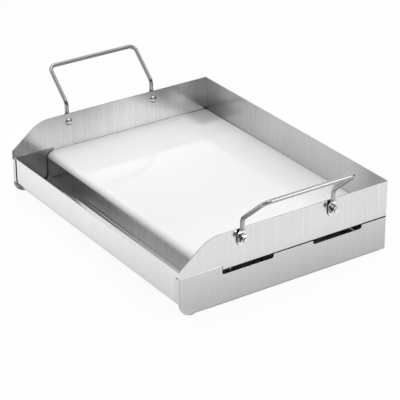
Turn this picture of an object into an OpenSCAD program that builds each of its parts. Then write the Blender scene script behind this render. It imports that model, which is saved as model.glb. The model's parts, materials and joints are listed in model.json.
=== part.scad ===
// Camp griddle: a folded steel plate with a front grease trough,
// standing on vented skirts, with two bolted rod handles.

/* [Plate] */
// Width across the outer faces of the side walls
plate_w = 432; // [380:1:500]
// Depth from the front flanges to the outer face of the back wall
plate_d = 333; // [310:1:400]
// Thickness of the folded sheet
sheet_t = 1.2; // [0.8:0.1:1.6]
// Inner radius of the tight folds
fold_r = 1.2; // [0.8:0.1:1.6]
// Outer radius of the upright welded corners at the back
corner_r = 2; // [1.8:0.1:3]
// Height of the walls above the cooking surface
wall_h = 51.5; // [46:0.5:58]

/* [Wall slope] */
// Height of the side walls at the very front
slope_low_h = 15.5; // [10:0.5:22]
// Rise of the sloped front edge in degrees
slope_angle = 38; // [32:1:50]
// Radius that blends the slope into the top edge
slope_round_r = 50; // [20:1:60]

/* [Trough] */
// Distance from the front to the face of the trough's rear wall
trough_reach = 56; // [50:1:62]
// Outer radius of the fold from the plate into the trough
lip_r = 9; // [5:0.5:12]
// Depth of the trough floor under the cooking surface
trough_drop = 42; // [34:0.5:45]
// Inner radius of the fold at the back of the trough floor
trough_rear_r = 9; // [4:0.5:12]
// Outer radius of the fold at the front of the trough floor
trough_front_r = 19; // [10:0.5:24]
// Height of the front rim above the cooking surface
rim_h = 7.2; // [6:0.1:9]

/* [Skirts] */
// Depth of the skirts' feet under the cooking surface
skirt_drop = 50; // [48:0.5:60]
// Radius of the lower front corner of a side skirt
skirt_corner_r = 20; // [12:1:28]
// Height of the welded seam above the cooking surface at the trough ends
seam_h = 5.4; // [4:0.1:5.8]
// Width of a side skirt's front return
front_return_w = 9; // [6:0.5:14]
// Width of a side skirt's rear return
rear_return_w = 12; // [8:0.5:18]
// Width of the foot flange
foot_w = 10; // [6:0.5:16]
// Width of the tabs under the plate
tab_w = 14; // [10:0.5:18]
// Height of a tab's leg behind the side skirt
tab_leg = 8; // [5:0.5:12]
// Length of the relief at the lower rear corner
relief_len = 12; // [8:0.5:18]
// Height of the relief at the lower rear corner
relief_h = 1.3; // [0.8:0.1:2.5]
// Height of the rear panel's lower edge above the feet
rear_lift = 0.3; // [0:0.1:2]

/* [Vents] */
// Length of a vent slot
vent_len = 80.5; // [60:0.5:90]
// Clear height of a vent slot
vent_h = 5.6; // [4.5:0.1:8]
// Distance from the plate's front fold to the first vent slot
vent_lead = 1; // [0.5:0.5:4]
// Distance between the starts of the two slots in a skirt
vent_pitch = 144; // [120:1:160]
// Radius of the lower corners of a slot
vent_corner_r = 3.5; // [2:0.1:4]

/* [Handles] */
// Diameter of the handle rod
rod_d = 6; // [5:0.1:8]
// Distance between the two bolts of a handle
bolt_pitch = 144; // [120:1:170]
// Distance from the front to the middle of the handle
handle_mid = 166; // [150:1:180]
// Height of the bolts above the cooking surface
bolt_h = 38.5; // [34:0.5:42]
// Height above the cooking surface where the leg bends outward
leg_h = 66; // [64:0.5:74]
// Distance from the wall's outer face to the middle of the grip
grip_reach = 50; // [40:0.5:65]
// Height of the grip above the cooking surface
grip_h = 107; // [95:0.5:120]
// Radius of the bend at the top of the leg, on the rod's middle line
leg_bend_r = 12; // [8:0.5:16]
// Radius of the bend at each end of the grip, on the rod's middle line
grip_bend_r = 9; // [6:0.5:16]
// Width of the flattened eye
eye_w = 12; // [11.5:0.5:15]
// Height of the flattened eye
eye_h = 22; // [20:0.5:26]
// Height of the eye's middle above its bolt
eye_lift = 0.5; // [0:0.5:2]
// Thickness of the flattened eye
eye_t = 2.4; // [1.8:0.1:3]
// Length of the neck between the eye and the round rod
neck_h = 2.5; // [2:0.5:6]

/* [Fasteners] */
// Diameter of the bolts
bolt_d = 6; // [5:0.5:6.5]
// Diameter of the dome head
head_d = 10.5; // [9:0.5:13]
// Height of the dome head
head_h = 3.3; // [2.5:0.1:4]
// Height of the straight edge round the dome head
head_edge = 0.7; // [0.4:0.1:1.2]
// Diameter of the flat washer
washer_d = 12; // [11:0.5:13]
// Thickness of the flat washer
washer_t = 1.6; // [1:0.1:2]
// Diameter of the lock washer
lock_d = 11; // [9.5:0.5:12]
// Thickness of the lock washer
lock_t = 1.6; // [1.2:0.1:2]
// Width of the split in the lock washer
lock_split = 0.9; // [0.6:0.1:1.4]
// Width of the nut across its flats
nut_af = 10; // [9:0.5:11]
// Height of the nut
nut_h = 5; // [4:0.1:6]
// Length of bolt that stands out of the nut
tail_h = 1.2; // [1.1:0.1:4]
// Pitch of the bolt's thread
thread_pitch = 1; // [0.7:0.1:1.2]
// Depth of the bolt's thread
thread_depth = 0.4; // [0.2:0.05:0.5]

/* [Braces] */
// Thickness of a brace strip
brace_t = 2; // [1.5:0.1:3]
// Height of a brace strip
brace_h = 12; // [8:1:28]
// Distance from the front to the front ends of the braces
brace_front = 82; // [76:1:100]
// Distance from the front to the rear ends of the braces
brace_rear = 305; // [270:1:308]
// Gap between a brace's front end and the side skirt
brace_gap = 4; // [2:0.5:10]

/* [Clearances] */
// Radial play of a bolt in the wall, the eye and the washers
hole_play = 0.3; // [0.2:0.05:0.5]
// Radial play of the nut's thread on the bolt
nut_play = 0.05; // [0.02:0.01:0.09]
// Gap between the round rod and the wall
rod_gap = 0.3; // [0.3:0.1:1]
// Gap beside the seam where the plate folds into the trough
jog_gap = 0.6; // [0.4:0.1:1]
// Gap between the plate's fold and the top edge of a skirt
seam_gap = 0.3; // [0.2:0.1:0.6]
// Play of one brace in the other's notch
lap_play = 0.15; // [0.1:0.05:0.4]
// Gap between neighbouring tabs and panels under the plate
tab_gap = 0.5; // [0.3:0.1:1.5]

/* [Hidden] */
$fn = 48;

STEEL = [0.80, 0.80, 0.81];
SKIRT_STEEL = [0.74, 0.74, 0.75];
BRACE_STEEL = [0.62, 0.62, 0.63];
BRIGHT_ROD = [0.86, 0.87, 0.88];
BRIGHT_BOLT = [0.78, 0.79, 0.81];

// Overshoot of a cutting shape past the face it cuts
over = 1;
half_w = plate_w / 2;
fold_out_r = fold_r + sheet_t;
inner_half_w = half_w - sheet_t;

// The plate starts to fold down into the trough here
lip_y = trough_reach + lip_r;
// The first slot starts where the side skirt steps down to the plate
vent_start = lip_y + vent_lead;
jog_y = vent_start + jog_gap;
skirt_top = -sheet_t - seam_gap;
// The front panel lies behind the skirts' front returns
panel_y = sheet_t;
trough_under = trough_drop + sheet_t;

// The slope meets the top edge here, before the corner is rounded
slope_corner_y = (wall_h - slope_low_h) / tan(slope_angle);
slope_tangent = slope_round_r * tan(slope_angle / 2);

front_bolt_y = handle_mid - bolt_pitch / 2;
rear_bolt_y = handle_mid + bolt_pitch / 2;
hole_d = bolt_d + 2 * hole_play;

vent_starts = [vent_start, vent_start + vent_pitch];
tab_spans = [
    [vent_starts[0] + vent_len, vent_starts[1]],
    [vent_starts[1] + vent_len, plate_d - 2 * sheet_t - tab_gap]
];

// Stack on the bolt, measured outward from the wall's outer face
washer_u = eye_t;
lock_u = washer_u + washer_t;
nut_u = lock_u + lock_t;
tail_u = nut_u + nut_h;

// The handle's middle line, in its own side view
rod_u = rod_d / 2 + rod_gap;
arm_angle = atan2(grip_h - leg_h, grip_reach - rod_u);
arm_len = norm([grip_reach - rod_u, grip_h - leg_h]);
leg_tangent = leg_bend_r * tan((90 - arm_angle) / 2);
eye_top = bolt_h + eye_lift + eye_h / 2;
neck_low = eye_top - eye_w / 4;
neck_top = eye_top + neck_h;
// The rod is a hair thicker in its bends, and its straights run a little way in
bend_d = rod_d + 0.06;
bend_lap = 0.4;

brace_front_x = inner_half_w - brace_gap;
brace_rear_x = inner_half_w - tab_w - brace_gap;
brace_run = [brace_front_x + brace_rear_x, brace_rear - brace_front];
brace_len = norm(brace_run);
brace_turn = atan2(brace_run[1], brace_run[0]);

// Moves a shape drawn from the front edge and the cooking surface
// to the middle of the footprint
module seated() {
    translate([0, -plate_d / 2, skirt_drop])
        children();
}

// Extrudes a side view, drawn as depth and height, from x0 to x1
module across(x0, x1) {
    translate([x0, 0, 0])
        rotate([90, 0, 90])
            linear_extrude(x1 - x0)
                children();
}

// Extrudes a front view, drawn as width and height, from y0 to y1
module along(y0, y1) {
    translate([0, y1, 0])
        rotate([90, 0, 0])
            linear_extrude(y1 - y0)
                children();
}

// Points a shape drawn along Z outward, at a bolt on the right-hand wall
module on_bolt(bolt_y, u) {
    translate([half_w + u, bolt_y, bolt_h])
        rotate([0, 90, 0])
            children();
}

// Places a right-hand shape on either side
module on_side(side) {
    mirror([side < 0 ? 1 : 0, 0, 0])
        children();
}

// What a rounded outside corner takes away, with the corner at the origin
module corner_waste(r) {
    difference() {
        translate([-over, -over])
            square(r + over);
        translate([r, r])
            circle(r);
    }
}

// One quarter of a bent sheet, seen on its edge
module quarter_bend(r_out) {
    intersection() {
        difference() {
            circle(r_out);
            circle(r_out - sheet_t);
        }
        square(r_out + over);
    }
}

// The tub's block from front_y back, with its folds and its upright back corners rounded
module tub_block(front_y, inset, height, r, upright_r) {
    low = inset - sheet_t;
    intersection() {
        translate([0, 0, low - over])
            linear_extrude(height + 2 * over)
                difference() {
                    translate([inset - half_w, front_y - over])
                        square([plate_w - 2 * inset, plate_d - inset - front_y + over]);
                    for (side = [0, 1])
                        mirror([side, 0])
                            translate([half_w - inset, plate_d - inset])
                                rotate(180)
                                    corner_waste(upright_r);
                }
        along(front_y, plate_d - inset)
            difference() {
                translate([inset - half_w, low])
                    square([plate_w - 2 * inset, height]);
                translate([inset - half_w, low])
                    corner_waste(r);
                mirror([1, 0])
                    translate([inset - half_w, low])
                        corner_waste(r);
            }
        across(-half_w, half_w)
            difference() {
                translate([front_y, low])
                    square([plate_d - inset - front_y, height]);
                translate([plate_d - inset, low])
                    mirror([1, 0])
                        corner_waste(r);
            }
    }
}

// The cooking plate with its side walls and back wall
module tub() {
    difference() {
        tub_block(jog_y, 0, wall_h + sheet_t, fold_out_r, corner_r);
        tub_block(jog_y - over, sheet_t, wall_h + over, fold_r, corner_r - sheet_t);
    }
}

// Side view of the trough: lip, rear wall, floor and front panel
module trough_view() {
    rear_y = trough_reach - trough_rear_r;
    rear_z = trough_rear_r - trough_drop;
    front_y = panel_y + trough_front_r;
    front_z = trough_front_r - trough_under;
    translate([lip_y, -sheet_t])
        square([lip_r, sheet_t]);
    translate([lip_y, -lip_r])
        rotate(90)
            quarter_bend(lip_r);
    translate([trough_reach, rear_z])
        square([sheet_t, -lip_r - rear_z]);
    translate([rear_y, rear_z])
        rotate(-90)
            quarter_bend(trough_rear_r + sheet_t);
    translate([front_y, -trough_under])
        square([rear_y - front_y, sheet_t]);
    translate([front_y, front_z])
        rotate(180)
            quarter_bend(trough_front_r);
    translate([panel_y, front_z])
        square([sheet_t, rim_h - front_z]);
}

// Side view of what the slope takes off the walls
module slope_waste() {
    rise = slope_tangent * sin(slope_angle);
    run = slope_tangent * cos(slope_angle);
    top_y = slope_corner_y + slope_tangent;
    difference() {
        polygon([
            [-over, slope_low_h - over * tan(slope_angle)],
            [slope_corner_y - run, wall_h - rise],
            [top_y, wall_h],
            [top_y, wall_h + over],
            [-over, wall_h + over]
        ]);
        translate([top_y, wall_h - slope_round_r])
            circle(slope_round_r, $fn = 96);
    }
}

module griddle_pan() {
    color(STEEL)
        seated()
            difference() {
                union() {
                    tub();
                    across(-inner_half_w, inner_half_w)
                        trough_view();
                    for (side = [-1, 1])
                        on_side(side)
                            translate([inner_half_w, 0, seam_h])
                                cube([sheet_t, jog_y + sheet_t, wall_h - seam_h]);
                }
                across(-half_w - over, half_w + over)
                    slope_waste();
                for (side = [-1, 1], bolt_y = [front_bolt_y, rear_bolt_y])
                    on_side(side)
                        on_bolt(bolt_y, -sheet_t - over)
                            cylinder(h = sheet_t + 2 * over, d = hole_d);
            }
}

// Side view of a side skirt's panel
module skirt_view() {
    difference() {
        union() {
            translate([0, -skirt_drop])
                square([plate_d, skirt_drop + skirt_top]);
            translate([0, -skirt_drop])
                square([vent_start, skirt_drop + seam_h]);
        }
        translate([0, -skirt_drop])
            corner_waste(skirt_corner_r);
        translate([plate_d - relief_len, -skirt_drop - over])
            square([relief_len + over, relief_h + over]);
        for (start = vent_starts)
            translate([start, skirt_top - vent_h])
                vent_view();
    }
}

// A vent slot, open at the top, with its lower left corner at the origin
module vent_view() {
    difference() {
        square([vent_len, vent_h + over]);
        intersection() {
            corner_waste(vent_corner_r);
            square(vent_corner_r);
        }
        translate([vent_len, 0])
            mirror([1, 0])
                intersection() {
                    corner_waste(vent_corner_r);
                    square(vent_corner_r);
                }
    }
}

// What rounds a fold between the panel and a return in front or behind
module upright_fold_waste(y, facing) {
    translate([half_w, y, -skirt_drop - over])
        mirror([1, 0, 0])
            mirror([0, facing > 0 ? 1 : 0, 0])
                linear_extrude(skirt_drop + seam_h + 2 * over)
                    corner_waste(fold_out_r);
}

// Front view of a tab: one leg behind the panel, the other under the plate
module tab_view() {
    leg_x = inner_half_w - sheet_t;
    leg_low = -sheet_t - tab_leg;
    polygon([
        [half_w - tab_w, -sheet_t],
        [inner_half_w, -sheet_t],
        [inner_half_w, skirt_top],
        [inner_half_w + sheet_t / 2, skirt_top],
        [inner_half_w + sheet_t / 2, leg_low],
        [leg_x, leg_low],
        [leg_x, -2 * sheet_t],
        [half_w - tab_w, -2 * sheet_t]
    ]);
}

// A right-hand skirt: panel, front and rear returns, foot and top tabs
module side_skirt() {
    foot_y0 = skirt_corner_r + fold_out_r;
    foot_y1 = plate_d - relief_len;
    return_z0 = skirt_corner_r - skirt_drop;
    rear_z0 = relief_h - skirt_drop;
    difference() {
        union() {
            across(inner_half_w, half_w)
                skirt_view();
            translate([half_w - front_return_w, 0, return_z0])
                cube([front_return_w - sheet_t / 2, sheet_t, seam_h - return_z0]);
            translate([half_w - rear_return_w, plate_d - sheet_t, rear_z0])
                cube([rear_return_w - sheet_t / 2, sheet_t, skirt_top - rear_z0]);
            translate([half_w - foot_w, foot_y0, -skirt_drop])
                cube([foot_w - sheet_t / 2, foot_y1 - foot_y0, sheet_t]);
            for (span = tab_spans)
                along(span[0], span[1])
                    tab_view();
        }
        upright_fold_waste(0, -1);
        upright_fold_waste(plate_d, 1);
        along(foot_y0, foot_y1)
            translate([half_w, -skirt_drop])
                mirror([1, 0])
                    corner_waste(fold_out_r);
    }
}

module left_skirt() {
    color(SKIRT_STEEL)
        seated()
            on_side(-1)
                side_skirt();
}

module right_skirt() {
    color(SKIRT_STEEL)
        seated()
            side_skirt();
}

// The rear panel lies inside the side skirts' rear returns
module rear_skirt() {
    panel_low = rear_lift - skirt_drop;
    panel_back = plate_d - sheet_t;
    flange_half_w = half_w - tab_w - tab_gap;
    color(SKIRT_STEEL)
        seated() {
            translate([-inner_half_w, panel_back - sheet_t, panel_low])
                cube([2 * inner_half_w, sheet_t, -sheet_t - panel_low]);
            translate([-flange_half_w, panel_back - tab_w, -2 * sheet_t])
                cube([2 * flange_half_w, tab_w, sheet_t]);
        }
}

// A strip on edge under the plate, from the left front to the right rear
module brace_bar(play, low, height) {
    translate([-brace_front_x, brace_front, low])
        rotate(brace_turn)
            translate([0, -brace_t / 2 - play, 0])
                cube([brace_len, brace_t + 2 * play, height]);
}

// The rising strip is notched from below where the other crosses it
module rising_brace() {
    brace_low = -sheet_t - brace_h;
    color(BRACE_STEEL)
        seated()
            difference() {
                brace_bar(0, brace_low, brace_h);
                mirror([1, 0, 0])
                    brace_bar(lap_play, brace_low - over, brace_h / 2 + over);
            }
}

// The falling strip is notched from above
module falling_brace() {
    brace_low = -sheet_t - brace_h;
    color(BRACE_STEEL)
        seated()
            difference() {
                mirror([1, 0, 0])
                    brace_bar(0, brace_low, brace_h);
                brace_bar(lap_play, brace_low + brace_h / 2, brace_h / 2 + over);
            }
}

// Side view of the flattened eye, with its middle at the origin
module eye_view() {
    reach = (eye_h - eye_w) / 2;
    for (end = [-1, 1])
        translate([0, end * reach])
            circle(d = eye_w);
    translate([-eye_w / 2, -reach])
        square([eye_w, 2 * reach]);
}

// The neck swells from the flat eye to the round rod
module neck() {
    intersection() {
        translate([rod_u, 0, neck_low])
            cylinder(h = neck_top - neck_low, d1 = eye_w * cos(30), d2 = bend_d);
        along(-eye_w, eye_w)
            polygon([
                [0, neck_low],
                [eye_t / 2, neck_low],
                [2 * rod_u + rod_gap, neck_top],
                [0, neck_top]
            ]);
    }
}

// The eye, its neck, the straight leg and the bend above it
module handle_leg(bolt_y) {
    translate([half_w, bolt_y, 0]) {
        difference() {
            union() {
                across(0, eye_t)
                    translate([0, bolt_h + eye_lift])
                        eye_view();
                neck();
            }
            translate([-over, 0, bolt_h])
                rotate([0, 90, 0])
                    cylinder(h = eye_t + 2 * over, d = hole_d);
        }
        translate([rod_u, 0, neck_top - bend_lap])
            cylinder(h = leg_h - leg_tangent - neck_top + 2 * bend_lap, d = rod_d);
        translate([rod_u + leg_bend_r, 0, leg_h - leg_tangent])
            rotate([90, 0, 0])
                rotate(90 + arm_angle)
                    rotate_extrude(angle = 90 - arm_angle)
                        translate([leg_bend_r, 0])
                            circle(d = bend_d);
    }
}

// The two arms and the grip, drawn flat and then tilted
module handle_loop() {
    grip_half = bolt_pitch / 2;
    grip_straight = bolt_pitch - 2 * grip_bend_r;
    arm_straight = arm_len - grip_bend_r - leg_tangent;
    translate([half_w + rod_u, handle_mid, leg_h])
        rotate([0, -arm_angle, 0]) {
            for (end = [0, 1])
                mirror([0, end, 0]) {
                    translate([leg_tangent - bend_lap, -grip_half, 0])
                        rotate([0, 90, 0])
                            cylinder(h = arm_straight + 2 * bend_lap, d = rod_d);
                    translate([arm_len - grip_bend_r, grip_bend_r - grip_half, 0])
                        rotate(-90)
                            rotate_extrude(angle = 90)
                                translate([grip_bend_r, 0])
                                    circle(d = bend_d);
                }
            translate([arm_len, -grip_straight / 2 - bend_lap, 0])
                rotate([-90, 0, 0])
                    cylinder(h = grip_straight + 2 * bend_lap, d = rod_d);
        }
}

module handle(side) {
    color(BRIGHT_ROD)
        seated()
            on_side(side) {
                for (bolt_y = [front_bolt_y, rear_bolt_y])
                    handle_leg(bolt_y);
                handle_loop();
            }
}

module left_handle() {
    handle(-1);
}

module right_handle() {
    handle(1);
}

// Half of the bolt's outline: dome, straight edge, shank and threaded tail
module bolt_view() {
    dome_h = head_h - head_edge;
    dome_r = (pow(head_d / 2, 2) + pow(dome_h, 2)) / (2 * dome_h);
    tail_start = head_h + sheet_t + tail_u;
    intersection() {
        translate([0, dome_r])
            circle(dome_r);
        square([head_d / 2, dome_h]);
    }
    translate([0, dome_h])
        square([head_d / 2, head_edge]);
    difference() {
        translate([0, head_h])
            square([bolt_d / 2, sheet_t + tail_u + tail_h]);
        for (turn = [0 : floor(tail_h / thread_pitch) - 1])
            translate([bolt_d / 2, tail_start + (turn + 0.5) * thread_pitch])
                rotate(45)
                    square(thread_depth * sqrt(2), center = true);
    }
}

// A dome-head bolt with its head inside the wall and its tail outside
module bolt(side, bolt_y) {
    color(BRIGHT_BOLT)
        seated()
            on_side(side)
                on_bolt(bolt_y, -sheet_t - head_h)
                    rotate_extrude()
                        bolt_view();
}

module left_front_bolt() {
    bolt(-1, front_bolt_y);
}

module left_rear_bolt() {
    bolt(-1, rear_bolt_y);
}

module right_front_bolt() {
    bolt(1, front_bolt_y);
}

module right_rear_bolt() {
    bolt(1, rear_bolt_y);
}

// A flat washer against the eye
module washer(side, bolt_y) {
    color(BRIGHT_BOLT)
        seated()
            on_side(side)
                on_bolt(bolt_y, washer_u)
                    difference() {
                        cylinder(h = washer_t, d = washer_d);
                        translate([0, 0, -over])
                            cylinder(h = washer_t + 2 * over, d = hole_d);
                    }
}

module left_front_washer() {
    washer(-1, front_bolt_y);
}

module left_rear_washer() {
    washer(-1, rear_bolt_y);
}

module right_front_washer() {
    washer(1, front_bolt_y);
}

module right_rear_washer() {
    washer(1, rear_bolt_y);
}

// A split lock washer between the flat washer and the nut
module lock_washer(side, bolt_y) {
    color(BRIGHT_BOLT)
        seated()
            on_side(side)
                on_bolt(bolt_y, lock_u)
                    difference() {
                        cylinder(h = lock_t, d = lock_d);
                        translate([0, 0, -over])
                            cylinder(h = lock_t + 2 * over, d = hole_d);
                        translate([0, -lock_split / 2, -over])
                            cube([lock_d, lock_split, lock_t + 2 * over]);
                    }
}

module left_front_lock_washer() {
    lock_washer(-1, front_bolt_y);
}

module left_rear_lock_washer() {
    lock_washer(-1, rear_bolt_y);
}

module right_front_lock_washer() {
    lock_washer(1, front_bolt_y);
}

module right_rear_lock_washer() {
    lock_washer(1, rear_bolt_y);
}

// A hex nut with its corners turned down at both ends
module nut(side, bolt_y) {
    corner_d = nut_af / cos(30);
    chamfer = (corner_d - nut_af) / 2;
    color(BRIGHT_BOLT)
        seated()
            on_side(side)
                on_bolt(bolt_y, nut_u)
                    difference() {
                        intersection() {
                            rotate(90)
                                cylinder(h = nut_h, d = corner_d, $fn = 6);
                            rotate_extrude()
                                polygon([
                                    [0, 0],
                                    [nut_af / 2, 0],
                                    [corner_d / 2, chamfer],
                                    [corner_d / 2, nut_h - chamfer],
                                    [nut_af / 2, nut_h],
                                    [0, nut_h]
                                ]);
                        }
                        translate([0, 0, -over])
                            cylinder(h = nut_h + 2 * over, r = bolt_d / 2 + nut_play);
                    }
}

module left_front_nut() {
    nut(-1, front_bolt_y);
}

module left_rear_nut() {
    nut(-1, rear_bolt_y);
}

module right_front_nut() {
    nut(1, front_bolt_y);
}

module right_rear_nut() {
    nut(1, rear_bolt_y);
}

griddle_pan();
left_skirt();
right_skirt();
rear_skirt();
rising_brace();
falling_brace();
left_handle();
right_handle();
left_front_bolt();
left_rear_bolt();
right_front_bolt();
right_rear_bolt();
left_front_washer();
left_rear_washer();
right_front_washer();
right_rear_washer();
left_front_lock_washer();
left_rear_lock_washer();
right_front_lock_washer();
right_rear_lock_washer();
left_front_nut();
left_rear_nut();
right_front_nut();
right_rear_nut();
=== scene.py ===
import json
import math

import bmesh
import bpy
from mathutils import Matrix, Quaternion, Vector


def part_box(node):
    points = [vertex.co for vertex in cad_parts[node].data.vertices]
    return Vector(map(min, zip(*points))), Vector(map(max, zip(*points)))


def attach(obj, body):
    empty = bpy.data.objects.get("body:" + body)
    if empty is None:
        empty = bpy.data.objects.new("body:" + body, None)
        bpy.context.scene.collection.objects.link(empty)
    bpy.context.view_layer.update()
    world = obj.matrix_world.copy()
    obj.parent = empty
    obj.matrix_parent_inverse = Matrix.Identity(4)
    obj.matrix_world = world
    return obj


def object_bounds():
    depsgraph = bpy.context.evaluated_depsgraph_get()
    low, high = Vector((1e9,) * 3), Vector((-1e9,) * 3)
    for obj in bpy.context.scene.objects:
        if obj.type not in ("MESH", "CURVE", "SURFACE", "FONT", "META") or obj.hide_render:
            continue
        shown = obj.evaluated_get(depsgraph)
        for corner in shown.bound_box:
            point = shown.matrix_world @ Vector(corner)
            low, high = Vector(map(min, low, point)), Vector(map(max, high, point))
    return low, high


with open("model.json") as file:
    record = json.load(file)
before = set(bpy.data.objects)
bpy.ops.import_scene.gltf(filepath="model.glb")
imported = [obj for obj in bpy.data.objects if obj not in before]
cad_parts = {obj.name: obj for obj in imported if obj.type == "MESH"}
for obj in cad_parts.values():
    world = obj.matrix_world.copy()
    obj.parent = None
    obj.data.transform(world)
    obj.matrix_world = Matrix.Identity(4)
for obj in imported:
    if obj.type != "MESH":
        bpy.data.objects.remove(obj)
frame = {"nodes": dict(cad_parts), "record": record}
cad_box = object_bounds()

# The griddle's own places, taken from the frame
record = frame["record"]
mounts = {mount["name"]: Vector(mount["pos_m"]) for mount in record["mounts"]}
openings = {opening["name"]: opening["box_m"] for opening in record["physics"]["openings"]}
skirt_lo, skirt_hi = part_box("right_skirt")
cook_z = mounts["cooking_surface"].z
trough_front_y = openings["trough_mouth"][0][1]
trough_floor_z = openings["trough_floor"][0][2]
plate_front_y = openings["pan_interior"][0][1]
trough_mid_y = (trough_front_y + plate_front_y) / 2
vent_front_y = openings["right_front_vent"][0][1]
seam_z = skirt_hi.z
wall_top_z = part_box("griddle_pan")[1].z

# Camera: the photograph's viewing angle
AIM = Vector((0.0366, -0.0140, 0.0500))
AZIMUTH = math.radians(-33.785)
ELEVATION = math.radians(26.707)
ROLL = math.radians(-0.293)
DISTANCE = 2.4545
SENSOR = 36.0
LENS = 162.13

# Floor: a near white glow to the camera and in metal, and pale paint to other light
FLOOR_SIZE = 60.0
FLOOR_DROP = 0.0002
FLOOR_WHITE = 0.92
FLOOR_GLOW = 0.93

# The floor's glow stops under the griddle, but for a strip along the front. In metal it carries a painted
# shadow: dimmer close to the griddle, more so on its left, and fading towards the right in front of the
# griddle
OPEN_FRONT = 0.045
DARK_EDGE = 0.004
PAINTED_SHADOW_REACH = 0.10
PAINTED_SHADOW_GLOW = 0.70
LEFT_PAINTED_SHADOW_REACH = 0.30
LEFT_PAINTED_SHADOW_GLOW = 0.06
FRONT_PAINTED_SHADOW_FADE = (-0.10, 0.22)
FRONT_PAINTED_SHADOW_GLOW = 0.78

# Room: pale panels on the left, a right side that is dim low down, a dim camera side and a white ceiling
WHITE = (1.0, 1.0, 1.0, 1.0)
ROOM_DARK = 0.05
PANEL_TURN = (-0.35, 0.05)
PANEL_LEFT = 0.95
PANEL_RISE = (16.0, 46.0)
PANEL_RIGHT = (0.04, 0.95)
CAMERA_SIDE = Vector((0.831, -0.556, 0.0))
CAMERA_TURN = (0.2, 0.7)
CAMERA_DARK = 0.15
CEILING_RISE = (60.0, 66.0)
CEILING_LEVEL = 1.0

# Lamps: softboxes above the back, the left side and the right side, and a small one by the right handle
OPEN_SPREAD = 180.0
SOFTBOXES = {
    "top_softbox": {"place": Vector((-0.13, 0.40, 1.70)), "size": (0.8, 0.5), "power": 1.4},
    "left_softbox": {
        "place": Vector((-0.26, 0.00, 0.80)), "size": (0.3, 0.4), "power": 0.138,
        "aim": Vector((-0.24, 0.00, 0.05)), "spread": 50.0, "mirrored": False,
    },
    "right_softbox": {"place": Vector((0.84, -0.13, 1.54)), "size": (0.6, 0.6), "power": 2.8},
    "handle_softbox": {"place": Vector((0.414, 0.100, 0.247)), "size": (0.15, 0.12), "power": 0.16},
}

# Steel: each sheet's shade and roughness, and for other stock the scale of its rub marks too
PAN = {"shade": 0.74, "roughness": 0.19}
SKIRT = {"shade": 0.66, "roughness": 0.24}
BRACE = {"shade": 0.90, "roughness": 0.42}
ROD = {"shade": 0.42, "roughness": 0.07, "scale": 900.0}
BOLT = {"shade": 0.78, "roughness": 0.10, "scale": 1500.0}
NUT = {"shade": 0.80, "roughness": 0.13, "scale": 1500.0}
WASHER = {"shade": 0.70, "roughness": 0.20, "scale": 1800.0}
WELD = {"shade": 0.92, "roughness": 0.30, "scale": 1200.0}
SPECULAR_LEVEL = 0.25

# Painted light on every metal: a painted highlight along edges and painted shade in crevices
EDGE_ROUND = 0.0006
EDGE_SAMPLES = 6
EDGE_TURN = (0.99, 0.85)
EDGE_HIGHLIGHT_GAIN = 0.2
CREVICE_REACH = 0.0040
CREVICE_SAMPLES = 8
CREVICE_CLEAR = (0.58, 0.76)
CREVICE_PAINTED_SHADE = 0.03

# Brushed grain of the sheets, as noise steps per metre across it and along it, and soft clouds.
# The grain lies level on faces flatter than FLAT_FACE
FLAT_FACE = 0.7
NOISE_SPAN = (0.3, 0.7)
WIDE_GRAIN = (320.0, 4.0)
FINE_GRAIN = (2400.0, 30.0)
GRAIN_MIX = (0.75, 0.25)
GRAIN_DETAIL = 3.0
CLOUD_SCALE = 11.0
TONE_MIX = (0.7, 0.3)
SHEET_SWING = 0.12
OUTER_SWING = 0.06
GRAIN_ROUGH = (-0.02, 0.02)
BUMP_DEPTH = 0.0001
SHEET_BUMP = 0.04

# Rub marks and haze of polished and plated stock
MARK_DETAIL = 4.0
MARK_ROUGH = (-0.03, 0.05)
MARK_BUMP = 0.05
HAZE_SCALE = 60.0
HAZE_DETAIL = 2.0
HAZE_SWING = (0.96, 1.04)

# How far a face's normal points along an axis, where a zone begins and where it is full
ALONG = (0.5, 0.9)
AGAINST = (-0.5, -0.9)
LEVEL_FACE = (0.90, 0.99)
LIP_FACE = (0.12, 0.22)
FOLD_FACE = (0.1, 0.6)
EYE_FACE = (0.9, 0.98)
HEAD_LOW_FACE = (-0.1, -0.5)

# Cooking plate: a satin face, with painted light at its sides and its front lip, and a painted dark
# reflection in its back corners
PLATE_SHADE = 0.905
PLATE_SIDE_PAINTED_LIGHT = 0.955
PLATE_SIDE_REACH = (0.06, 0.17)
PLATE_METALLIC = 0.05
PLATE_ROUGH = 0.09
PLATE_SWING = 0.01
PLATE_RISE = 0.002
LIP_PAINTED_LIGHT = 0.95
LIP_DROP = (0.0085, 0.0070)
PLATE_CORNER_PAINTED_REFLECTION = 0.62
PLATE_CORNER_PAINTED_ACROSS = (0.034, 0.058)
PLATE_CORNER_PAINTED_DEEP = (0.028, 0.052)

# Insides of the side walls: painted light at the foot, painted shade towards the front and the top, and a
# patch of painted shade towards the back
INNER_TURN = (-0.04, 0.02)
INNER_FOOT_PAINTED_LIGHT = (0.88, 0.98)
INNER_TOP_PAINTED_SHADE = (0.48, 0.72)
SIDE_PAINTED_SHADE = 0.36
SIDE_PAINTED_REACH = (0.03, 0.125)
SIDE_PAINTED_EDGE = 0.033
SIDE_PAINTED_START = (0.04, 0.08)

# Back wall and its corners in painted shade, the front panel in painted light, the trough in painted shade
# with its floor in painted light, and the cut edges along the walls' tops
BACK_PAINTED_SHADE = 0.57
CORNER_PAINTED_SHADE = 0.32
CORNER_REACH = (0.015, 0.085)
FRONT_PAINTED_LIGHT = 0.86
TROUGH_PAINTED_SHADE = 0.51
TROUGH_FRONT_PAINTED_SHADE = 0.64
FOLD_PAINTED_LIGHT = 0.76
CUT_SHADE = 0.40
CUT_RISE = 0.010

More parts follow.
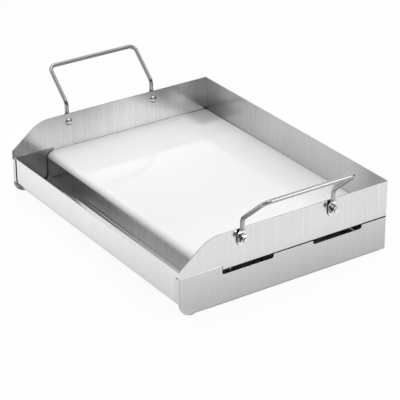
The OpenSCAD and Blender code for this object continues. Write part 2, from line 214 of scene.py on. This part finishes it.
# Skirts' front returns in painted light, and painted shade on the inner faces of skirts and pan, and on the
# skirts as the trough's ends
RETURN_PAINTED_LIGHT = 0.78
INNER_PAINTED_SHADE = 0.2
TROUGH_END_PAINTED_SHADE = 0.38

# Painted light on the handles' pressed eyes, and painted shade on the undersides of the bolts
EYE_PAINTED_LIGHT = 0.85
EYE_TOP = 0.1020
HEAD_LOW_PAINTED_SHADE = 0.12

# Weld beads along the seams at the trough's ends
BEAD_WIDTH = 0.0020
BEAD_RISE = 0.0006
BEAD_SINK = 0.0002
BEAD_PITCH = 0.0028
BEAD_RIPPLE = 0.06
BEAD_STOP = 0.0030
BEAD_TIP = 0.2
BEAD_TAPER = 20.0
BEAD_STATIONS = 160
BEAD_SPOKES = 8


class Graph:
    """A node tree with short calls that add nodes and link them."""

    def __init__(self, tree):
        self.nodes = tree.nodes
        self.links = tree.links
        self.nodes.clear()

    def add(self, kind, inputs=None, **settings):
        node = self.nodes.new(kind)
        for name, value in settings.items():
            setattr(node, name, value)
        for name, value in (inputs or {}).items():
            self.put(node.inputs[name], value)
        return node

    def put(self, socket, value):
        if isinstance(value, bpy.types.NodeSocket):
            self.links.new(value, socket)
        else:
            socket.default_value = value

    def math(self, operation, first, second=0.0):
        node = self.add("ShaderNodeMath", operation=operation)
        self.put(node.inputs[0], first)
        self.put(node.inputs[1], second)
        return node.outputs[0]

    def above(self, value, limit):
        return self.math("GREATER_THAN", value, limit)

    def below(self, value, limit):
        return self.math("LESS_THAN", value, limit)

    def every(self, first, *others):
        """The product of values or masks."""
        for other in others:
            first = self.math("MULTIPLY", first, other)
        return first

    def largest(self, first, *others):
        for other in others:
            first = self.math("MAXIMUM", first, other)
        return first

    def weigh(self, shares, first, second):
        """The sum of two values, each times its share."""
        parts = [self.math("MULTIPLY", value, share) for value, share in zip((first, second), shares)]
        return self.math("ADD", *parts)

    def span(self, value, low, high, to_low, to_high, smooth=False):
        """Carries one range over to another, and holds at its ends."""
        node = self.add("ShaderNodeMapRange", {
            "Value": value, "From Min": low, "From Max": high, "To Min": to_low, "To Max": to_high,
        })
        if smooth:
            node.interpolation_type = "SMOOTHSTEP"
        return node.outputs["Result"]

    def ramp(self, value, low, high, smooth=False):
        """A mask that is 0 at low and 1 at high."""
        return self.span(value, low, high, 0.0, 1.0, smooth)

    def fall(self, value, low, high, smooth=False):
        """A mask that is 1 at low and 0 at high."""
        return self.span(value, low, high, 1.0, 0.0, smooth)

    def blend(self, mask, outside, inside):
        """One value where the mask is 0 and another where it is 1."""
        return self.span(mask, 0.0, 1.0, outside, inside)

    def vector_math(self, operation, first, second, output):
        node = self.add("ShaderNodeVectorMath", operation=operation)
        self.put(node.inputs[0], first)
        self.put(node.inputs[1], second)
        return node.outputs[output]

    def dot(self, first, second):
        return self.vector_math("DOT_PRODUCT", first, second, "Value")

    def stretch(self, vector, factors):
        return self.vector_math("MULTIPLY", vector, factors, "Vector")

    def split(self, vector):
        node = self.add("ShaderNodeSeparateXYZ", {"Vector": vector})
        return [node.outputs[axis] for axis in "XYZ"]

    def choose(self, factor, first, second):
        """Mixes two vectors. The Mix node repeats its sockets' names, so they are told apart by place."""
        node = self.add("ShaderNodeMix", data_type="VECTOR")
        self.put(node.inputs["Factor"], factor)
        self.put(node.inputs[4], first)
        self.put(node.inputs[5], second)
        return node.outputs[1]

    def noise(self, vector, detail, scale=1.0):
        node = self.add("ShaderNodeTexNoise", {"Vector": vector, "Scale": scale, "Detail": detail})
        return node.outputs["Fac"]

    def grey(self, value):
        node = self.add("ShaderNodeCombineColor")
        for channel in ("Red", "Green", "Blue"):
            self.put(node.inputs[channel], value)
        return node.outputs["Color"]

    def bump(self, strength, height, normal):
        node = self.add("ShaderNodeBump", {
            "Strength": strength, "Distance": BUMP_DEPTH, "Height": height, "Normal": normal,
        })
        return node.outputs["Normal"]


def new_material(name):
    material = bpy.data.materials.new(name)
    material.use_nodes = True
    return material, Graph(material.node_tree)


def close_metal(graph, shade, roughness, normal, metallic=1.0):
    """Ends a metal's nodes in its shader."""
    shader = graph.add("ShaderNodeBsdfPrincipled", {
        "Base Color": graph.grey(shade), "Metallic": metallic, "Roughness": roughness, "Normal": normal,
        "Specular IOR Level": SPECULAR_LEVEL,
    })
    graph.add("ShaderNodeOutputMaterial", {"Surface": shader.outputs["BSDF"]})


def painted_edges_and_crevices(graph, shade, alone=False):
    """Paints shade into a metal's crevices and a highlight along its edges, and gives its rounded normal
    too.
    """
    bevel = graph.add("ShaderNodeBevel", {"Radius": EDGE_ROUND}, samples=EDGE_SAMPLES)
    rounded = bevel.outputs["Normal"]
    square = graph.add("ShaderNodeNewGeometry").outputs["Normal"]
    opening = graph.add(
        "ShaderNodeAmbientOcclusion", {"Distance": CREVICE_REACH}, samples=CREVICE_SAMPLES, only_local=alone,
    )
    painted_highlight = graph.span(graph.dot(rounded, square), *EDGE_TURN, 1.0, 1.0 + EDGE_HIGHLIGHT_GAIN)
    painted_crevice_shade = graph.span(opening.outputs["AO"], *CREVICE_CLEAR, CREVICE_PAINTED_SHADE, 1.0)
    return graph.every(shade, painted_highlight, painted_crevice_shade), rounded


def outward_part(graph, point, facing):
    """How far a face looks away from the griddle's middle, to the left or the right."""
    return graph.math("MULTIPLY", facing[0], graph.math("SIGN", point[0]))


def sheet_steel(name, shade, roughness, zones=None):
    """Sheet steel with a fine brushed grain that runs up the walls and across the plate."""
    material, graph = new_material(name)
    place = graph.add("ShaderNodeTexCoord")
    point = place.outputs["Object"]
    facing = graph.split(place.outputs["Normal"])
    flat = graph.above(graph.math("ABSOLUTE", facing[2]), FLAT_FACE)
    satin, swing = None, SHEET_SWING
    if zones:
        shade, swing, satin = zones(graph, graph.split(point), facing, shade)

    def by_finish(sheet_value, satin_value):
        return graph.blend(satin, sheet_value, satin_value) if satin else sheet_value

    def grain(across, along):
        upright = graph.stretch(point, (across, across, along))
        level = graph.stretch(point, (along, across, across))
        return graph.noise(graph.choose(flat, upright, level), GRAIN_DETAIL)

    fine_grain = grain(*FINE_GRAIN)
    streak = graph.weigh(GRAIN_MIX, grain(*WIDE_GRAIN), fine_grain)
    tone = graph.weigh(TONE_MIX, streak, graph.noise(point, GRAIN_DETAIL, CLOUD_SCALE))
    sway = graph.every(graph.span(tone, *NOISE_SPAN, -1.0, 1.0), by_finish(swing, PLATE_SWING))
    shade, rounded = painted_edges_and_crevices(graph, graph.every(shade, graph.math("ADD", sway, 1.0)))
    sway_rough = graph.span(streak, *NOISE_SPAN, *GRAIN_ROUGH)
    rough = graph.math("ADD", by_finish(roughness, PLATE_ROUGH), sway_rough)
    normal = graph.bump(SHEET_BUMP, fine_grain, rounded)
    close_metal(graph, shade, rough, normal, by_finish(1.0, PLATE_METALLIC))
    return material


def inner_wall(graph, depth, height):
    """The painted light and shade of a side wall's inside, and the mask of its painted shade patch, which is
    wider higher up.
    """
    foot = graph.span(depth, *INNER_TURN, *INNER_FOOT_PAINTED_LIGHT)
    top = graph.span(depth, *INNER_TURN, *INNER_TOP_PAINTED_SHADE)
    rear = graph.math("SUBTRACT", skirt_hi.y, depth)
    reach = graph.span(height, cook_z, wall_top_z, *SIDE_PAINTED_REACH)
    past_reach = graph.math("SUBTRACT", rear, reach)
    painted_patch = graph.every(
        graph.fall(past_reach, -SIDE_PAINTED_EDGE, SIDE_PAINTED_EDGE, smooth=True),
        graph.ramp(rear, *SIDE_PAINTED_START, smooth=True),
    )
    return graph.span(height, cook_z, wall_top_z, foot, top), painted_patch


def pan_zones(graph, point, facing, shade):
    """A satin cooking plate with painted light and shade: graded walls, and a trough in painted shade with
    its floor in painted light.
    """
    across, depth, height = point
    inset = graph.math("SUBTRACT", skirt_hi.x, graph.math("ABSOLUTE", across))
    rear = graph.math("SUBTRACT", skirt_hi.y, depth)
    before_plate = graph.below(depth, plate_front_y)
    sunk = graph.fall(height, *(cook_z - drop for drop in LIP_DROP))
    raised = graph.math("SUBTRACT", 1.0, sunk)
    in_trough = graph.every(sunk, graph.above(depth, trough_front_y), before_plate)

    outward = outward_part(graph, point, facing)
    outer = graph.ramp(outward, *ALONG)
    inner = graph.ramp(outward, *AGAINST)
    ahead = graph.ramp(facing[1], *AGAINST)
    behind = graph.ramp(facing[1], *ALONG)
    rolled = graph.ramp(facing[2], *LIP_FACE)
    bent = graph.ramp(facing[2], *FOLD_FACE)

    front = graph.every(ahead, graph.below(depth, trough_front_y))
    back = graph.every(ahead, graph.above(depth, plate_front_y))
    corner = graph.fall(inset, *CORNER_REACH, smooth=True)
    top_face = graph.blend(before_plate, graph.ramp(facing[2], *LEVEL_FACE), rolled)
    plate = graph.every(top_face, raised, graph.below(height, cook_z + PLATE_RISE))
    # The plate's sides take painted light, and its back corners a painted dark reflection
    plate_shade_with_painted_light = graph.span(inset, *PLATE_SIDE_REACH, PLATE_SIDE_PAINTED_LIGHT, PLATE_SHADE, smooth=True)
    painted_patch = graph.every(
        graph.fall(inset, *PLATE_CORNER_PAINTED_ACROSS, smooth=True), graph.fall(rear, *PLATE_CORNER_PAINTED_DEEP, smooth=True),
    )
    wall_painted_shade, side_painted_patch = inner_wall(graph, depth, height)

    # Each zone replaces the shade: painted light or painted shade on walls, front, trough and plate, and
    # darker cut edges
    zones = (
        (inner, wall_painted_shade),
        (graph.every(inner, side_painted_patch), SIDE_PAINTED_SHADE),
        (front, FRONT_PAINTED_LIGHT),
        (back, BACK_PAINTED_SHADE),
        (graph.every(back, corner), CORNER_PAINTED_SHADE),
        (graph.every(in_trough, ahead), TROUGH_PAINTED_SHADE),
        (graph.every(behind, before_plate), INNER_PAINTED_SHADE),
        (graph.every(behind, graph.below(depth, trough_mid_y)), TROUGH_FRONT_PAINTED_SHADE),
        (graph.every(in_trough, bent), FOLD_PAINTED_LIGHT),
        (graph.every(rolled, graph.above(height, cook_z + CUT_RISE)), CUT_SHADE),
        (plate, plate_shade_with_painted_light),
        (graph.every(plate, painted_patch), PLATE_CORNER_PAINTED_REFLECTION),
        (graph.every(plate, before_plate), LIP_PAINTED_LIGHT),
    )
    for mask, zone_shade in zones:
        shade = graph.blend(mask, shade, zone_shade)
    swing = graph.blend(graph.largest(outer, behind, front), SHEET_SWING, OUTER_SWING)
    return shade, swing, plate


def skirt_zones(graph, point, facing, shade):
    """The front returns take painted light nearly as pale as the front panel, and the inner faces painted
    shade.
    """
    _, depth, height = point
    front = graph.span(facing[1], *AGAINST, 1.0, RETURN_PAINTED_LIGHT / shade)
    trough_end = graph.every(graph.below(depth, plate_front_y), graph.above(height, trough_floor_z))
    inner_share = graph.blend(trough_end, INNER_PAINTED_SHADE / shade, TROUGH_END_PAINTED_SHADE / shade)
    inner = graph.span(outward_part(graph, point, facing), *AGAINST, 1.0, inner_share)
    return graph.every(shade, front, inner), OUTER_SWING, None


def bright_steel(name, shade, roughness, scale, zones=None, alone=False):
    """Polished or plated stock with fine rub marks."""
    material, graph = new_material(name)
    place = graph.add("ShaderNodeTexCoord")
    point = place.outputs["Object"]
    marks = graph.noise(point, MARK_DETAIL, scale)
    haze = graph.noise(point, HAZE_DETAIL, HAZE_SCALE)
    if zones:
        shade = zones(graph, graph.split(point), graph.split(place.outputs["Normal"]), shade)
    tone = graph.every(shade, graph.span(haze, *NOISE_SPAN, *HAZE_SWING))
    shade, rounded = painted_edges_and_crevices(graph, tone, alone)
    rough = graph.span(marks, *NOISE_SPAN, *(roughness + swing for swing in MARK_ROUGH))
    close_metal(graph, shade, rough, graph.bump(MARK_BUMP, marks, rounded))
    return material


def rod_zones(graph, point, facing, shade):
    """The pressed eyes' outward faces take painted light, brighter than the round rod."""
    outer = graph.ramp(outward_part(graph, point, facing), *EYE_FACE)
    eye = graph.every(outer, graph.below(point[2], EYE_TOP))
    return graph.blend(eye, shade, EYE_PAINTED_LIGHT)


def bolt_zones(graph, point, facing, shade):
    """The undersides take painted shade."""
    return graph.span(facing[2], *HEAD_LOW_FACE, shade, HEAD_LOW_PAINTED_SHADE)


def weld_bead(name, side, finish):
    """A low rippled bead along the seam at one end of the trough."""
    start = skirt_lo.y + BEAD_STOP / 2
    length = vent_front_y - BEAD_STOP - start
    wall_x = skirt_hi.x - BEAD_SINK
    shell = bmesh.new()
    rows = []
    for station in range(BEAD_STATIONS + 1):
        share = station / BEAD_STATIONS
        swell = 1.0 + BEAD_RIPPLE * math.sin(2 * math.pi * share * length / BEAD_PITCH)
        swell *= min(1.0, BEAD_TIP + BEAD_TAPER * share, BEAD_TIP + BEAD_TAPER * (1 - share))
        row = []
        for spoke in range(BEAD_SPOKES + 1):
            turn = math.pi * spoke / BEAD_SPOKES
            out = wall_x + (BEAD_SINK + BEAD_RISE) * swell * math.sin(turn)
            up = seam_z + BEAD_WIDTH / 2 * swell * math.cos(turn)
            row.append(shell.verts.new((side * out, start + share * length, up)))
        rows.append(row)
    for row, after in zip(rows, rows[1:]):
        for spoke in range(BEAD_SPOKES + 1):
            beside = (spoke + 1) % (BEAD_SPOKES + 1)
            shell.faces.new((row[spoke], row[beside], after[beside], after[spoke]))
    shell.faces.new(rows[0])
    shell.faces.new(rows[-1])
    bmesh.ops.recalc_face_normals(shell, faces=shell.faces)
    mesh = bpy.data.meshes.new(name)
    shell.to_mesh(mesh)
    shell.free()
    mesh.shade_smooth()
    mesh.materials.append(finish)
    bead = bpy.data.objects.new(name, mesh)
    bpy.context.scene.collection.objects.link(bead)
    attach(bead, "griddle")


def floor_white():
    """A pale floor that keeps shadows, near white to the camera, and in metal dimmed near the griddle by a
    painted shadow.
    """
    material, graph = new_material("floor_white")
    path = graph.add("ShaderNodeLightPath")
    across, back, _ = graph.split(graph.add("ShaderNodeTexCoord").outputs["Object"])
    behind = graph.math("SUBTRACT", back, OPEN_FRONT / 2)
    past_side = graph.math("SUBTRACT", graph.math("ABSOLUTE", across), skirt_hi.x)
    past_end = graph.math("SUBTRACT", graph.math("ABSOLUTE", behind), skirt_hi.y - OPEN_FRONT / 2)
    past = graph.largest(past_side, past_end)
    bare = graph.span(past, -DARK_EDGE, 0.0, 0.0, FLOOR_GLOW, smooth=True)
    # In metal the glow takes a painted shadow near the griddle, reaching farthest and darkest on its left
    left = graph.every(graph.below(across, -skirt_hi.x), graph.above(back, -skirt_hi.y))
    reach = graph.blend(left, PAINTED_SHADOW_REACH, LEFT_PAINTED_SHADOW_REACH)
    glow_with_painted_shadow = graph.span(past, 0.0, reach, graph.blend(left, PAINTED_SHADOW_GLOW, LEFT_PAINTED_SHADOW_GLOW), 1.0)
    glow_with_painted_front_shadow = graph.span(across, *FRONT_PAINTED_SHADOW_FADE, glow_with_painted_shadow, graph.every(glow_with_painted_shadow, FRONT_PAINTED_SHADOW_GLOW))
    metal_glow_with_painted_shadow = graph.blend(graph.below(back, -skirt_hi.y), glow_with_painted_shadow, glow_with_painted_front_shadow)

    mirrored = path.outputs["Is Glossy Ray"]
    seen = graph.largest(path.outputs["Is Camera Ray"], path.outputs["Is Transmission Ray"], mirrored)
    paint = graph.add("ShaderNodeBsdfDiffuse", {"Color": (FLOOR_WHITE, FLOOR_WHITE, FLOOR_WHITE, 1.0)})
    glow = graph.add("ShaderNodeEmission", {"Strength": graph.blend(mirrored, 1.0, metal_glow_with_painted_shadow)})
    mix = graph.add("ShaderNodeMixShader", {"Fac": graph.every(bare, seen)})
    graph.put(mix.inputs[1], paint.outputs["BSDF"])
    graph.put(mix.inputs[2], glow.outputs["Emission"])
    graph.add("ShaderNodeOutputMaterial", {"Surface": mix.outputs["Shader"]})
    return material


def add_floor():
    mesh = bpy.data.meshes.new("studio_floor")
    sheet = bmesh.new()
    bmesh.ops.create_grid(sheet, x_segments=1, y_segments=1, size=FLOOR_SIZE / 2)
    sheet.to_mesh(mesh)
    sheet.free()
    mesh.materials.append(floor_white())
    floor = bpy.data.objects.new("studio_floor", mesh)
    floor.location.z = cad_box[0].z - FLOOR_DROP
    bpy.context.scene.collection.objects.link(floor)


def add_room():
    """The world round the griddle, as the room's values above describe it."""
    world = bpy.data.worlds.new("studio_room")
    world.use_nodes = True
    graph = Graph(world.node_tree)
    way = graph.add("ShaderNodeTexCoord").outputs["Generated"]
    right, _, up = graph.split(way)
    ceiling_rise, panel_rise = (
        [math.sin(math.radians(angle)) for angle in rise] for rise in (CEILING_RISE, PANEL_RISE)
    )
    graded = graph.span(up, *panel_rise, *PANEL_RIGHT, smooth=True)
    panel = graph.span(right, *PANEL_TURN, PANEL_LEFT, graded, smooth=True)
    dim = graph.span(graph.dot(way, CAMERA_SIDE), *CAMERA_TURN, 1.0, CAMERA_DARK, smooth=True)
    walls = graph.math("ADD", graph.every(panel, dim), ROOM_DARK)
    light = graph.span(up, *ceiling_rise, walls, CEILING_LEVEL, smooth=True)
    sky = graph.add("ShaderNodeBackground", {"Color": WHITE, "Strength": light})
    graph.add("ShaderNodeOutputWorld", {"Surface": sky.outputs["Background"]})
    bpy.context.scene.world = world


def add_softbox(name, place, size, power, aim=AIM, spread=OPEN_SPREAD, mirrored=True):
    """A rectangular lamp, turned to its aim. One that isn't mirrored doesn't show in metal."""
    data = bpy.data.lights.new(name, "AREA")
    data.shape = "RECTANGLE"
    data.size, data.size_y = size
    data.spread = math.radians(spread)
    data.energy = power
    softbox = bpy.data.objects.new(name, data)
    softbox.location = place
    softbox.rotation_euler = (place - aim).to_track_quat("Z", "Y").to_euler()
    softbox.visible_glossy = mirrored
    bpy.context.scene.collection.objects.link(softbox)


def add_camera():
    data = bpy.data.cameras.new("photo_camera")
    data.sensor_width = SENSOR
    data.lens = LENS
    camera = bpy.data.objects.new("photo_camera", data)
    level = math.cos(ELEVATION)
    outward = Vector((level * math.cos(AZIMUTH), level * math.sin(AZIMUTH), math.sin(ELEVATION)))
    camera.location = AIM + DISTANCE * outward
    camera.rotation_mode = "QUATERNION"
    camera.rotation_quaternion = outward.to_track_quat("Z", "Y") @ Quaternion((0.0, 0.0, 1.0), ROLL)
    bpy.context.scene.collection.objects.link(camera)
    bpy.context.scene.camera = camera


# Finishes, one for each material slot of the frame
FINISHES = {
    "pan_steel": sheet_steel("pan_finish", **PAN, zones=pan_zones),
    "skirt_steel": sheet_steel("skirt_finish", **SKIRT, zones=skirt_zones),
    "brace_steel": sheet_steel("brace_finish", **BRACE),
    "handle_rod": bright_steel("rod_finish", **ROD, zones=rod_zones),
    "bolt_steel": bright_steel("bolt_finish", **BOLT, zones=bolt_zones),
    "nut_steel": bright_steel("nut_finish", **NUT),
    "washer_steel": bright_steel("washer_finish", **WASHER),
}
for node in frame["nodes"].values():
    slot = node.material_slots[0]
    slot.material = FINISHES[slot.material.name]

weld_finish = bright_steel("weld_finish", **WELD, alone=True)
weld_bead("left_weld_bead", -1, weld_finish)
weld_bead("right_weld_bead", 1, weld_finish)

add_floor()
add_room()
for softbox_name, softbox in SOFTBOXES.items():
    add_softbox(softbox_name, **softbox)
add_camera()
bpy.context.scene.view_settings.view_transform = "Standard"
